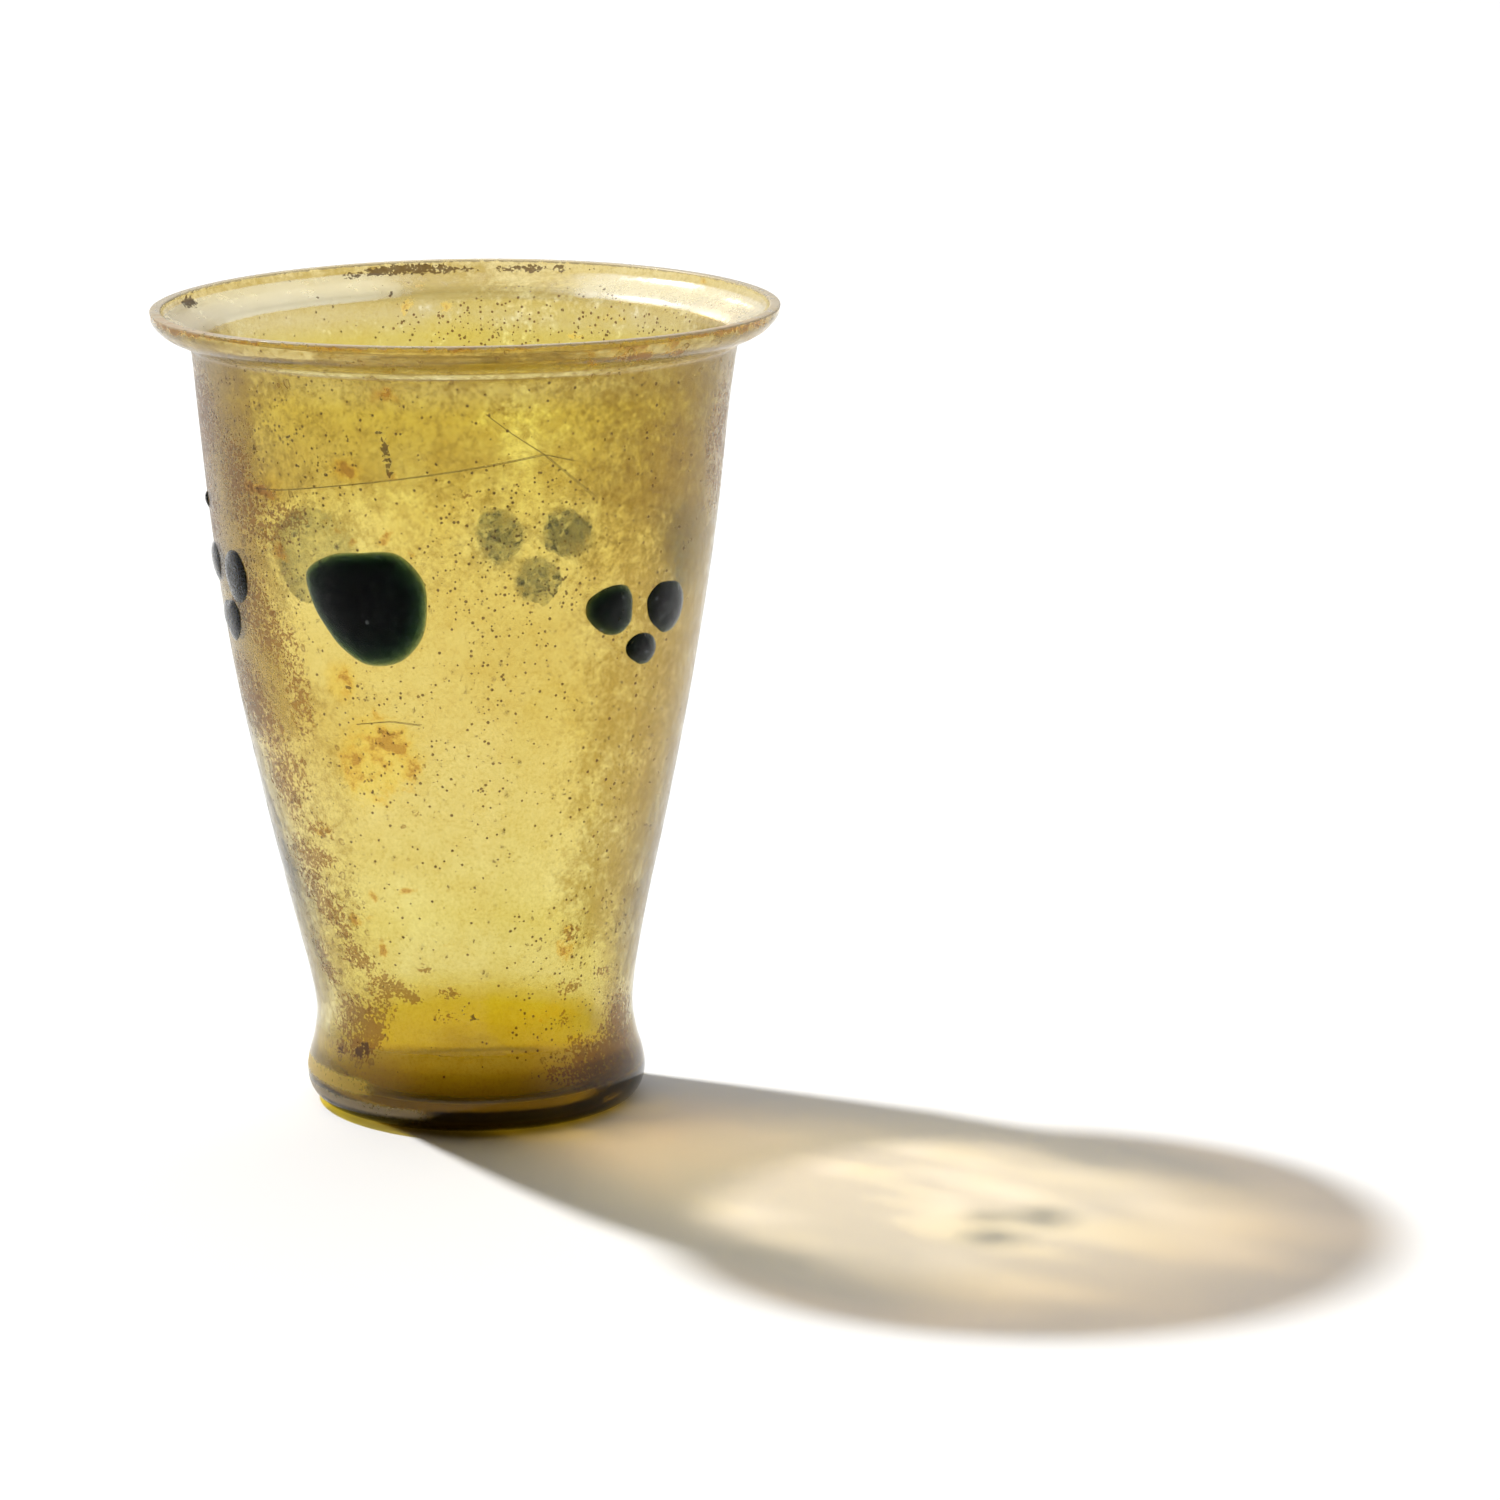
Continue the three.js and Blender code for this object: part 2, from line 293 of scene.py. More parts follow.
# Turn, height and face of every point, the two poles last
turn_all = np.concatenate([turn_grid.ravel(), [0, 0]])
height_all = np.concatenate([height_grid.ravel(), poles[:, 2]])
inner_all = np.concatenate([inside_grid.ravel(), [False, True]])


def vessel_map(corners):
    """Turn as a share of a full round and height as a share of the cup's, with the last strip's far
    side taken to 1 so that the map doesn't jump back."""
    across, up = turn_all[corners] / full_turn + 0.5, height_all[corners] / cup_height
    face = across[:wall_quads.size].reshape(-1, 4)
    wrapped = face.max(axis=1, keepdims=True) - face > 0.5
    across[:wall_quads.size] = np.where(wrapped, face + 1, face).ravel()
    return np.stack([across, up], axis=1)


vessel = make_piece("blown_vessel", settle(np.concatenate([band, poles])), vessel_faces, vessel_map)

# Stains and crusts on the outer wall: turn, height, half width, half tallness and strength of each
rust_stains = [
    (-62, 113.6, 12, 0.7, 0.95), (-40, 113.7, 9, 0.6, 0.9), (-14, 113.7, 9, 0.5, 0.8),
    (12, 113.8, 12, 0.4, 0.6), (52, 113.7, 10, 0.6, 0.8), (70, 113.4, 8, 0.9, 0.9),
    (38, 111.6, 7, 0.9, 0.8), (24, 110.8, 6, 0.7, 0.6),
    (-15.6, 106.7, 2.6, 1.5, 0.8), (-10.9, 103.7, 1.1, 1, 0.5), (-23.1, 96.3, 1.9, 1.2, 0.9),
    (-39.7, 95, 1.1, 0.7, 0.5), (-50.9, 91.7, 1.7, 1.3, 0.8), (-44.6, 91.7, 2.5, 0.8, 0.8),
    (-12.8, 95.7, 1, 0.6, 0.6), (-27.2, 92.4, 0.8, 1, 0.4), (-26.9, 89.9, 0.8, 0.7, 0.8),
    (-25.8, 87.2, 0.9, 0.6, 0.6), (-22.7, 85.8, 0.9, 0.7, 0.8), (-14, 87.3, 0.8, 0.9, 1),
    (-15.4, 86.2, 0.8, 0.6, 1), (-6.9, 86.1, 1, 0.4, 0.6), (-9, 84.4, 0.6, 0.7, 0.7),
    (-43.2, 83.4, 2.4, 1.5, 0.8), (-7.6, 90.7, 1.5, 1, 0.4), (0.8, 91, 0.9, 2.1, 0.35),
    (-46, 94.6, 1.2, 1, 0.4), (-27.8, 66.2, 1.7, 2.4, 0.8), (-26.1, 64.8, 1.2, 0.8, 0.8),
    (-8.8, 66.9, 0.7, 0.6, 0.6), (-17.3, 61.6, 2.1, 1, 0.6), (-21.3, 58.6, 4.4, 1.7, 0.6),
    (-27.4, 53.2, 2, 3.5, 0.7), (-15.6, 55.9, 2.8, 1.7, 0.7), (-22.1, 50.5, 3.7, 1.7, 0.7),
    (-11.6, 52.3, 1.3, 2.5, 0.5), (-39.2, 43.1, 1.4, 0.9, 0.7), (-43.3, 42.9, 1.5, 0.9, 0.5),
    (-26.7, 26.7, 0.6, 1.6, 0.9), (-33.3, 30.5, 1.8, 1.4, 0.6), (-27.7, 34.2, 0.9, 1.1, 0.6),
    (-15.2, 35.8, 1.6, 0.7, 0.8), (-5.5, 27.5, 0.8, 0.9, 0.9), (9, 24.8, 0.7, 1, 0.6),
    (34.9, 26.2, 1.9, 1.7, 0.7), (36.6, 28.8, 1.4, 1.6, 0.5), (27.1, 16.1, 1.1, 1.1, 0.7),
    (0, 18, 0.8, 0.7, 0.6), (-51.3, 10.4, 1.6, 0.7, 0.6), (-37.3, 11.6, 0.9, 1, 0.8),
    (12.9, 75.4, 0.6, 4.2, 0.25), (6.1, 81.9, 0.7, 0.6, 0.3), (-20, 55.5, 3.6, 3.4, 0.55),
]
soil_stains = [
    (-56, 93.8, 3.2, 4.2, 0.6), (-47.6, 87.5, 6.1, 3.5, 0.5), (-36.9, 89, 2, 1.4, 0.6),
    (-56.7, 75.3, 5, 4.2, 0.5), (-48.2, 70.4, 4.1, 2.8, 0.5), (-66.3, 61.4, 5.2, 4.3, 0.6),
    (-61.7, 57.6, 4.4, 2.9, 0.6), (-42.1, 62.3, 2.2, 4.9, 0.5), (-54.1, 51.1, 4.7, 4.3, 0.5),
    (-59.5, 49.1, 1.6, 1.9, 0.7), (-54.7, 46.6, 1.7, 2.6, 0.6), (-43.1, 43.2, 2.5, 1, 0.6),
    (-46.5, 38.8, 3, 1.3, 0.8), (-55.2, 39.2, 2.5, 2.1, 0.6), (-52.9, 34.2, 3, 2.9, 0.6),
    (-45.8, 31, 2.6, 2.1, 0.7), (-41, 28.5, 1.5, 1, 0.8), (-38.7, 25.8, 1.3, 1, 0.9),
    (-38, 24.1, 2.3, 1, 0.9), (-57.9, 23.3, 1.6, 2.9, 0.6), (-53.6, 20.7, 1.2, 1.4, 0.6),
    (-29.6, 20.9, 2.1, 1.9, 0.7), (-23.6, 20.5, 2.3, 0.9, 0.8), (-18.8, 19.5, 1.5, 0.7, 0.8),
    (-30, 17.5, 1.6, 1.4, 0.5), (-44.2, 15.9, 3.3, 2, 0.8), (-37.1, 14.1, 2.3, 1.9, 0.8),
    (-51.7, 13.4, 2.3, 1.4, 0.5), (-42.6, 11.2, 2.1, 1.6, 1), (-53.6, 10, 1.1, 0.9, 0.9),
    (-37.4, 12.6, 1.4, 1.4, 0.8), (-5.8, 20.4, 1.4, 0.6, 0.7), (-12.7, 24.2, 1.1, 0.5, 0.5),
    (-6.9, 16.8, 1.7, 0.7, 0.4), (34.6, 19.9, 1, 1.1, 0.5), (40, 20.3, 1.3, 0.7, 0.5),
    (36, 28.3, 1.2, 1, 0.7), (53.7, 21.4, 1.7, 0.5, 0.7), (36.1, 15.6, 0.7, 1.1, 0.5),
    (40.8, 12.1, 1.5, 1, 0.5), (68.1, 14.1, 3.8, 2.9, 0.5), (3.3, 92.7, 0.5, 0.8, 0.5),
    (-84, 97, 8, 9, 0.75), (-74, 101, 6, 5, 0.6), (-80, 84, 6, 7, 0.6), (80, 96, 6, 9, 0.5),
    (58, 7.5, 7, 3, 0.85), (46, 8.5, 6, 2.4, 0.6), (66, 11, 5, 3, 0.6),
]
dark_crusts = [
    (-37.4, 100, 0.6, 0.5, 1), (-47.8, 97.3, 0.8, 0.6, 0.9), (-48.3, 92.1, 0.7, 0.5, 0.8),
    (-40.6, 11.1, 1.2, 1, 1), (-43.3, 10.2, 1.2, 0.7, 1), (-53.4, 9.7, 0.9, 0.9, 0.8),
    (2.6, 16.8, 0.6, 0.6, 1), (-0.8, 17.7, 0.5, 0.5, 0.9), (5, 36.7, 0.4, 0.4, 0.9),
    (4.1, 28.1, 0.4, 0.4, 0.7), (-27.7, 12.7, 0.4, 0.4, 0.9), (-26.9, 65.1, 0.9, 0.7, 0.8),
    (-31.9, 53.6, 0.5, 0.5, 0.8), (-14.3, 106.3, 0.4, 0.6, 0.8), (38.6, 20.8, 0.6, 0.5, 0.6),
    (36, 28.3, 0.6, 0.5, 0.6), (-15.5, 101.6, 0.7, 0.4, 0.9), (-14.1, 99.4, 0.6, 2.1, 1),
    (-13.4, 96.6, 0.5, 1.9, 1),
]

# The same on the inner face of the wall and of the flange
inner_rust = [
    (-164.8, 108, 1.4, 1, 0.8), (-167.8, 110.8, 1.2, 0.5, 0.7), (-174.2, 107.7, 1.6, 1.2, 0.6),
    (-170, 102, 2.5, 2, 0.4), (154, 104.8, 2.2, 1.2, 0.6), (146, 106.5, 2.6, 1.2, 0.5),
    (-161, 113.3, 2, 0.5, 0.6), (138, 113.2, 1.2, 0.4, 0.7), (129, 113.2, 1.4, 0.4, 0.6),
]
inner_crusts = [
    (-153.6, 112.5, 1.2, 0.5, 0.9), (-158.8, 112.8, 2.2, 0.6, 0.95), (-163.5, 112.9, 2.2, 0.7, 1),
    (-168.5, 112.9, 2.4, 0.7, 1), (-173.5, 112.8, 2, 0.6, 0.9), (-178.5, 112.7, 1.4, 0.4, 0.7),
    (174.5, 112.8, 1.8, 0.5, 0.75), (169.5, 112.9, 2, 0.6, 0.95), (163.5, 113, 1.4, 0.5, 0.8),
    (156, 113, 1.2, 0.4, 0.6), (-108.5, 112.6, 2.2, 0.8, 1), (-140, 112.6, 1, 0.3, 0.6),
    (-161, 110.1, 0.4, 0.4, 0.9), (151.8, 105.4, 0.5, 0.5, 0.9), (156, 104.4, 0.5, 0.5, 0.8),
    (174.8, 104.4, 0.5, 0.4, 0.7), (178.8, 103, 0.5, 0.4, 0.7), (-121, 107, 0.7, 1, 0.6),
]

# Bands of wear and of painted light and shade: first and last turn, lowest and highest point,
# strength and soft edge in degrees. Film dulls the glass, and flecks and specks dot it. The pale
# band in the flange's dish is a painted reflection of the white room. The foot's dark rim is painted
# shade, darkest in front. The grey band on the foot's left is grey dust with a painted sheen, and
# the yellow band above it is painted light gathered in the thick glass. Dull roughens the floor.
outer_film = [
    (-100, -56, 62, 107, 1, 22), (-78, -38, 20, 62, 0.4, 16), (46, 108, 30, 107, 0.75, 28),
    (66, 108, 14, 22, 0.6, 16), (-108, -72, 14, 22, 0.5, 14), (-78, 78, 108.6, 113.4, 0.4, 12),
]
inner_film = [
    (-175, -96, 88, 109, 1, 16), (100, 150, 84, 106, 0.75, 20), (110, 250, 99, 106, 0.75, 20),
    (-180, 180, 84, 107, 0.38, 1),
]
fleck_bands = [
    (-84, -44, 30, 74, 0.8, 12), (-62, -36, 10, 34, 0.9, 12), (-70, -40, 74, 100, 0.7, 12),
    (-36, -8, 40, 62, 0.45, 10), (22, 60, 8, 26, 0.5, 12), (-90, 90, 109.5, 113.4, 0.6, 12),
]
speck_bands = [
    (0, 26, 76, 94, 0.6, 10), (6, 12, 50, 76, 0.6, 4), (-180, 180, 12, 107, 0.1, 1),
    (24, 60, 12, 30, 0.5, 14), (-60, -30, 80, 107, 0.4, 14), (-26, -8, 50, 64, 0.4, 8),
]
inner_specks = [
    (130, 180, 101, 107, 0.6, 14), (-180, -165, 101, 107, 0.5, 12), (-180, 180, 40, 107, 0.08, 1),
]
# A painted reflection of the white room in the flange's dish, strongest on the left
dish_painted_reflection_bands = [
    (-180, 180, 110.3, 112.1, 0.25, 1), (-150, -80, 109.8, 112.4, 1, 20),
    (100, 150, 110, 112.4, 0.9, 16),
]
dull_bands = [(-180, 180, 0, 9, 1, 1)]
# Painted shade at the foot's bottom, darkest in front, standing for the shaded table seen through
# the base
painted_foot_shade_bands = [
    (-8, 60, 0, 3.2, 1, 16), (54, 120, 0, 4.4, 1, 16), (-62, -8, 0, 1.6, 1, 14),
    (-180, 180, 0, 0.4, 0.8, 1), (46, 96, 4, 8.5, 0.55, 20),
]
# Grey dust on the foot's left, together with a painted sheen of the room reflected there
dust_and_painted_sheen_bands = [(-80, -20, 1.8, 3.1, 0.9, 14)]
# Painted light: a yellow glow on the foot's left, where light gathers in the thick glass
painted_foot_glow_bands = [(-84, -42, 4.6, 6.2, 0.9, 12)]

# Glass stained amber: turn, height, half width, half tallness and strength, on the two faces
outer_amber = [
    (-20, 56.5, 5.2, 4.6, 0.9), (-24, 52, 4, 4, 0.7), (-28.5, 66, 2.4, 2.6, 0.9),
    (-44, 92.5, 3, 2, 0.8), (-23, 96, 2.6, 1.6, 0.8), (36, 17, 6, 1.4, 0.6),
]
inner_amber = [
    (178, 108.2, 5, 0.9, 0.9), (165, 108, 6, 1.1, 1), (150, 107.6, 6, 1, 0.8),
    (-175, 105, 5, 3, 0.7),
]
oval_spread = 1.4
oval_power = 1.5


def turned_away(turn, middle):
    """How far a turn is from another one the shorter way round, below 0 on its left."""
    return (turn - middle + half_turn) % full_turn - half_turn


def patches(turn, height, places):
    """How strongly points lie in soft-edged ovals: each is its strength times a bell that falls
    from its middle, and together they are one minus the product of what each leaves free."""
    free = np.ones_like(turn, float)
    arc = math.radians(1) * np.interp(height, wall_heights, wall_radii)
    for middle, level, wide, tall, strength in places:
        across, up = turned_away(turn, middle) * arc / wide, (height - level) / tall
        free *= 1 - strength * np.exp(-((across ** 2 + up ** 2) / oval_spread) ** oval_power)
    return 1 - free


def bands(turn, height, places, soft_height):
    """How strongly points lie in bands, joined in the same way: each is its strength between its
    turns and heights, and fades to 0 over a soft edge outside them."""
    free = np.ones_like(turn, float)
    for start, end, low, high, strength, soft_turn in places:
        middle, half = (start + end) / 2, (end - start) / 2
        across = 1 - smooth_step(half, half + soft_turn, np.abs(turned_away(turn, middle)))
        above = smooth_step(low - soft_height, low, height)
        below = 1 - smooth_step(high, high + soft_height, height)
        free *= 1 - strength * across * above * below
    return 1 - free


# Each mark: how it is spread, its places on the outer and the inner face, and a band's soft height
marks = {
    "rust": (patches, rust_stains, inner_rust, ()),
    "soil": (patches, soil_stains, [], ()),
    "crust": (patches, dark_crusts, inner_crusts, ()),
    "film": (bands, outer_film, inner_film, (9,)),
    "fleck": (bands, fleck_bands, [], (8,)),
    "speck": (bands, speck_bands, inner_specks, (5,)),
    # painted reflection in the flange's dish
    "dish_painted_reflection": (bands, [], dish_painted_reflection_bands, (0.6,)),
    "amber": (patches, outer_amber, inner_amber, ()),
    # painted shade at the foot's bottom rim
    "painted_foot_shade": (bands, painted_foot_shade_bands, [], (1.2,)),
    # grey dust with a painted sheen on the foot's left
    "dust_and_painted_sheen": (bands, dust_and_painted_sheen_bands, [], (0.8,)),
    # painted light: yellow glow on the foot's left
    "painted_foot_glow": (bands, painted_foot_glow_bands, [], (0.8,)),
    "dull": (bands, [], dull_bands, (3,)),
}
for key, (spread, outer_places, inner_places, soft) in marks.items():
    outer_values = spread(turn_all, height_all, outer_places, *soft)
    inner_values = spread(turn_all, height_all, inner_places, *soft)
    store(vessel, key, np.where(inner_all, inner_values, outer_values))
lip_start, lip_full = cup_height - lip_round * 2, cup_height - lip_round / 2
store(vessel, "lip", smooth_step(lip_start, lip_full, height_all))


def linear(code):
    """An sRGB hex colour as the linear one that the shaders work in, with full alpha: a low share
    is over 12.92, and any other is 0.055 more, over 1.055 and to the power 2.4."""
    parts = [int(code[k:k + 2], 16) / 255 for k in (1, 3, 5)]
    return tuple(p / 12.92 if p <= 0.04045 else ((p + 0.055) / 1.055) ** 2.4 for p in parts) + (1,)


def add(tree, kind, *values, out=None, **named):
    """Adds a node and gives back its output of a name, or else its first. Values feed its inputs in
    order. A name in small letters is a setting, and any other name is an input, by its name with
    underscores for spaces or by its identifier. A socket given as a value is linked."""
    node = tree.nodes.new("ShaderNode" + kind)
    for key in [key for key in named if key.islower()]:
        setattr(node, key, named.pop(key))
    sockets = {socket.identifier: socket for socket in node.inputs}
    feeds = list(zip(node.inputs, values))
    for key, value in named.items():
        plain = key.replace("_", " ")
        feeds.append((sockets[key] if key in sockets else node.inputs[plain], value))
    for socket, value in feeds:
        if isinstance(value, bpy.types.NodeSocket):
            tree.links.new(value, socket)
        else:
            socket.default_value = value
    given = {socket.identifier: socket for socket in node.outputs}
    return given.get(out, next(iter(node.outputs), None))


# What makes a Mix node work on colours, and a MapRange node start and end level. Nearly all of a
# noise lies between the noise levels.
colours = {"data_type": "RGBA", "out": "Result_Color"}
smooth = {"interpolation_type": "SMOOTHSTEP"}
noise_levels = (0.3, 0.7)
glass_ior = 1.5


def new_tree(name):
    """An empty node material and its tree."""
    material = bpy.data.materials.new(name)
    material.use_nodes = True
    material.node_tree.nodes.clear()
    return material, material.node_tree


def glass_surface(tree, tint, clear, rough, bump, gloss, passing):
    """Principled glass for the eye, and for a lamp's ray, which goes straight through, a clear pane
    in the colour that it passes."""
    skin = add(tree, "BsdfPrincipled", Base_Color=tint, Roughness=rough, IOR=glass_ior, Normal=bump,
               Transmission_Weight=clear, Specular_Tint=linear(gloss))
    pane = add(tree, "BsdfTransparent", passing)
    lamp_ray = add(tree, "LightPath", out="Is Shadow Ray")
    return add(tree, "MixShader", lamp_ray, skin, pane)


# Weathered free-blown soda glass, fire-polished when new. The eye sees a clear olive yellow that
# deepens where the glass is thick, dulled by a brownish film at the sides, orange rust, brown soil
# and flecks, and fine dark specks. Painted on it are a pale reflection in the flange's dish, shade
# at the foot's bottom, and on the foot's left a grey sheen over dust and a yellow pool of light.
glass, tree = new_tree("weathered_olive_soda_glass")
place = add(tree, "TexCoord", out="Object")
level = add(tree, "SeparateXYZ", place, out="Z")

# Smooth noises, by the size of their grains in millimetres, how finely broken and how rough
noises = {
    "cloud": (11, 2, 0.5),
    "patch": (3.2, 4, 0.65),
    "spot": (0.9, 3, 0.6),
    "grain": (0.42, 1, 0.5),
    "ripple": (6, 2, 0.5),
}
grains = {}
for key, (size, detail, rough) in noises.items():
    grains[key] = add(tree, "TexNoise", place, Scale=1 / (size * mm), Detail=detail,
                      Roughness=rough)

# Each mark is a value stored on the mesh plus a noise, cut off between two levels, and fades out
# where the stored value does: the stored value, the noise, how much it counts, and the two levels
keys = [*marks, "lip", "halo"]
stored = {key: add(tree, "Attribute", attribute_name=key, out="Fac") for key in keys}
broken = add(tree, "Math", grains["patch"], grains["spot"], operation="ADD")
crumbled = add(tree, "Math", grains["spot"], grains["grain"], operation="ADD")
cut_levels = {
    "rust": ("rust", grains["patch"], 3.2, 2.1, 2.4),
    "deep_rust": ("rust", grains["patch"], 3.2, 2.35, 2.6),
    "soil": ("soil", crumbled, 2.6, 2.9, 3.2),
    "crust": ("crust", crumbled, 1.3, 1.92, 2.08),
    "grit": ("fleck", grains["grain"], 2.4, 2.15, 2.4),
    "film": ("film", broken, 1.4, 1.5, 2.3),
    # painted reflection in the flange's dish
    "dish_painted_reflection": ("dish_painted_reflection", grains["patch"], 0.6, 0.5, 1.1),
    "amber": ("amber", broken, 0.7, 0.8, 1.5),
    # painted shade at the foot's bottom rim
    "painted_foot_shade": ("painted_foot_shade", grains["spot"], 0.3, 0.45, 1.1),
    # grey dust with a painted sheen on the foot's left
    "dust_and_painted_sheen": ("dust_and_painted_sheen", crumbled, 0.8, 1.0, 1.7),
    # painted light: yellow glow on the foot's left
    "painted_foot_glow": ("painted_foot_glow", crumbled, 0.8, 1.0, 1.7),
    "dull": ("dull", grains["spot"], 0.2, 0.1, 1.1),
    "lip": ("lip", grains["spot"], 1.6, 1.3, 1.8),
}
faint, plain = 0.06, 0.22
mask = {}
for key, (source, noise, amount, low, high) in cut_levels.items():
    raised = add(tree, "Math", noise, amount, stored[source], operation="MULTIPLY_ADD")
    cut = add(tree, "MapRange", raised, low, high, **smooth)
    within = add(tree, "MapRange", stored[source], faint, plain, **smooth)
    mask[key] = add(tree, "Math", cut, within, operation="MULTIPLY")

# Flecks: rings and spots, one in some cells of a random pattern that a noise has pulled out of
# shape. They crowd where the stored value and a slow noise are high, and are paler in the middle.
# Sizes are shares of a cell, and edge and hollow are shares of a fleck.
fleck_cell, pull_grain, pull_length = 1.5, 1.1, 0.7
fleck_sizes, edge_levels, hollow_levels, hollow_share = (0.18, 0.5), (0.85, 1.05), (0.4, 0.8), 0.2
crowd_weight, crowd_levels = 1.8, (1.4, 2.1)
drift = add(tree, "TexNoise", place, Scale=1 / (pull_grain * mm), Detail=1, out="Color")
pulled = add(tree, "VectorMath", drift, (pull_length * mm,) * 3, place, operation="MULTIPLY_ADD")
cell = add(tree, "TexVoronoi", pulled, Scale=1 / (fleck_cell * mm), out="Distance")
pick = add(tree, "SeparateColor", cell.node.outputs["Color"])
crowd = add(tree, "Math", grains["patch"], crowd_weight, stored["fleck"], operation="MULTIPLY_ADD")
crowd = add(tree, "MapRange", crowd, *crowd_levels)
picked = add(tree, "Math", pick, crowd, operation="LESS_THAN")
size = add(tree, "MapRange", pick.node.outputs[1], 0.0, 1.0, *fleck_sizes)
away = add(tree, "Math", cell, size, operation="DIVIDE")
body = add(tree, "MapRange", away, *edge_levels, 1.0, 0.0, **smooth)
hollow = add(tree, "MapRange", away, *hollow_levels, hollow_share, 1.0)
body = add(tree, "Math", body, hollow, operation="MULTIPLY")
mask["fleck"] = add(tree, "Math", body, picked, operation="MULTIPLY")

# Specks: round dots in some cells of a finer pattern, in more of them the higher the stored value
speck_cell, speck_sizes, most_specked = 0.6, (0.14, 0.4), 0.6
cell = add(tree, "TexVoronoi", place, Scale=1 / (speck_cell * mm), out="Distance")
pick = add(tree, "SeparateColor", cell.node.outputs["Color"])
bare = add(tree, "Math", stored["speck"], -most_specked, 1.0, operation="MULTIPLY_ADD")
picked = add(tree, "Math", pick, bare, operation="GREATER_THAN")
size = add(tree, "MapRange", pick.node.outputs[1], 0.0, 1.0, *speck_sizes)
dot = add(tree, "Math", cell, size, operation="LESS_THAN")
mask["speck"] = add(tree, "Math", dot, picked, operation="MULTIPLY")

# Scratches: the turn and height of points along each. A curve gives the scratch's height at each
# turn, and drops to 0 just past its ends. A line is drawn where the wall's own height is near it.
scratch_reach = 0.07
scratch_end = 0.004
wall_map = add(tree, "UVMap", uv_map="wall")
scratches = [
    [(-50.5, 91.8), (-40.8, 92.2), (-24.5, 93.8), (-11, 95.1), (6, 96.8), (19.8, 98.3),
     (27.2, 97.1)],
    [(6, 104.6), (12.5, 101.4), (19.8, 98.3), (27, 94.5), (33.2, 91.3)],
    [(-25.8, 59.9), (-16.2, 60.7), (-7.5, 60.3)],
    [(-64, 63.5), (-58, 62.8), (-52, 61)],
]
across = add(tree, "SeparateXYZ", wall_map)
up = across.node.outputs["Y"]
mask["scratch"] = 0.0
for points in scratches:
    course = add(tree, "FloatCurve", 1.0, across)
    curve = course.node.mapping.curves[0]
    spots = [(turn / full_turn + 0.5, height / cup_height) for turn, height in points]
    curve.points[0].location = (spots[0][0] - scratch_end, 0)
    curve.points[1].location = (spots[-1][0] + scratch_end, 0)
    for spot in spots:
        curve.points.new(*spot)
    for point in curve.points:
        point.handle_type = "VECTOR"
    course.node.mapping.update()
    near = add(tree, "Math", up, course, scratch_reach / cup_height, operation="COMPARE")
    mask["scratch"] = add(tree, "Math", mask["scratch"], near, operation="MAXIMUM")

# The gather's colour up the cup, in millimetres from the table: deep in the foot and darkest at its
# bottom, where the colour is painted shade, then paler where it was drawn thin, and deeper again at
# the lip. The shadow's is what each wall leaves of a lamp's ray, which is least over the waist and
# at the flange.
height_colours = {
    "gather": [
        # The darkest stop, at the table, is painted shade
        (0, "#6A5410"), (3, "#C6AA22"), (5, "#D8C02E"), (8, "#DECB38"), (13, "#F2EECF"),
        (20, "#F1EBB6"), (34, "#F8F4D2"), (50, "#F1E7B6"), (78, "#EDE1A6"), (98, "#F8F2B0"),
        (104, "#FFFAA8"), (107.5, "#FFFFEC"), (110, "#EADDA2"), (112, "#E0D098"), (114, "#E4D49E"),
    ],
    "shadow": [
        (0, "#FAF09A"), (5, "#F4E838"), (9, "#E4DCB0"), (14, "#C9BEC4"), (30, "#DED4D9"),
        (45, "#F6F0EF"), (80, "#F8F1EA"), (100, "#EDDFCC"), (106, "#DACBB8"), (112, "#BCAEA2"),
    ],
}
up_share = add(tree, "Math", level, cup_height * mm, operation="DIVIDE")
at_height = {}
for key, rows_here in height_colours.items():
    at_height[key] = add(tree, "ValToRGB", up_share)
    stops = at_height[key].node.color_ramp.elements
    stops[0].color, stops[1].color = linear(rows_here[0][1]), linear(rows_here[-1][1])
    for height, code in rows_here[1:]:
        stops.new(height / cup_height).color = linear(code)

# Unevenness of the clear glass: each noise darkens it between two levels towards a colour
uneven_looks = {
    "cloud": (0.35, 0.65, "#FAF7EA"),
    "patch": (0.45, 0.7, "#FBF7EC"),
    "grain": (0.5, 0.72, "#F4EED8"),
    "spot": (0.52, 0.75, "#F7F3E4"),
}
uneven = (1, 1, 1, 1)
for key, (low, high, code) in uneven_looks.items():
    share = add(tree, "MapRange", grains[key], low, high, **smooth)
    uneven = add(tree, "Mix", Factor_Float=share, A_Color=uneven, B_Color=linear(code),
                 blend_type="MULTIPLY", **colours)
tint = add(tree, "Mix", Factor_Float=1.0, A_Color=at_height["gather"], B_Color=uneven,
           blend_type="MULTIPLY", **colours)

